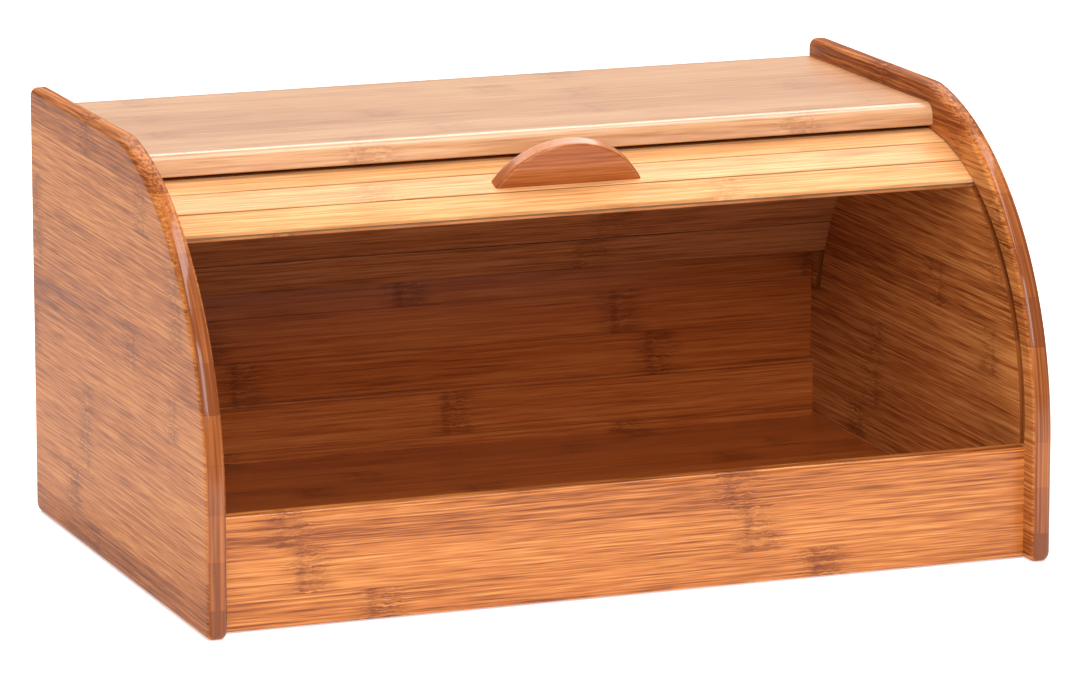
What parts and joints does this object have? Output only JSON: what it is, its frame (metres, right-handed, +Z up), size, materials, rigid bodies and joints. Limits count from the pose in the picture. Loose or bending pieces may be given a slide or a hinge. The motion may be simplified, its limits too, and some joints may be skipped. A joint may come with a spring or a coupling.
{
  "type": "bread box with roll top",
  "caption": "Free-standing wooden bread box with quarter-round sides, a flat top and a slatted roll-up lid that turns in curved tracks.",
  "frame": {"origin": "centre of the footprint, on the surface the box stands on", "axes": "+X to the right along the box's length, -Y to the open front, +Z up"},
  "size_m": [0.4, 0.262, 0.201],
  "materials": {
    "bamboo_side": "satin lacquer",
    "bamboo_board": "satin lacquer",
    "bamboo_inside": "satin lacquer",
    "bamboo_slat": "satin lacquer",
    "bamboo_handle": "satin lacquer",
    "dowel_wood": "plain",
    "canvas": "plain weave",
    "screw_steel": "zinc plated"
  },
  "bodies": {
    "case": {"left_side_panel": "bamboo_side", "right_side_panel": "bamboo_side", "top_panel": "bamboo_board", "front_board": "bamboo_board", "lower_back_board": "bamboo_inside", "upper_back_panel": "bamboo_inside", "bottom_panel": "bamboo_inside", "top_dowels": "dowel_wood", "front_dowels": "dowel_wood", "back_dowels": "dowel_wood"},
    "roll_lid": {"front_rail_outer": "bamboo_slat", "front_rail_inner": "bamboo_inside", "slat_outer_01": "bamboo_slat", "slat_outer_02": "bamboo_slat", "slat_outer_03": "bamboo_slat", "slat_outer_04": "bamboo_slat", "slat_outer_05": "bamboo_slat", "slat_outer_06": "bamboo_slat", "slat_outer_07": "bamboo_slat", "slat_outer_08": "bamboo_slat", "slat_outer_09": "bamboo_slat", "slat_outer_10": "bamboo_slat", "slat_outer_11": "bamboo_slat", "slat_inner_01": "bamboo_inside", "slat_inner_02": "bamboo_inside", "slat_inner_03": "bamboo_inside", "slat_inner_04": "bamboo_inside", "slat_inner_05": "bamboo_inside", "slat_inner_06": "bamboo_inside", "slat_inner_07": "bamboo_inside", "slat_inner_08": "bamboo_inside", "slat_inner_09": "bamboo_inside", "slat_inner_10": "bamboo_inside", "slat_inner_11": "bamboo_inside", "lid_canvas": "canvas", "handle": "bamboo_handle", "handle_screws": "screw_steel"}
  },
  "joints": [
    {"name": "lid_roll", "type": "hinge", "parent": "case", "child": "roll_lid", "pos_m": [0, 0, 0.061], "axis": [1, 0, 0], "range_deg": [-9.5, 64]}
  ]
}
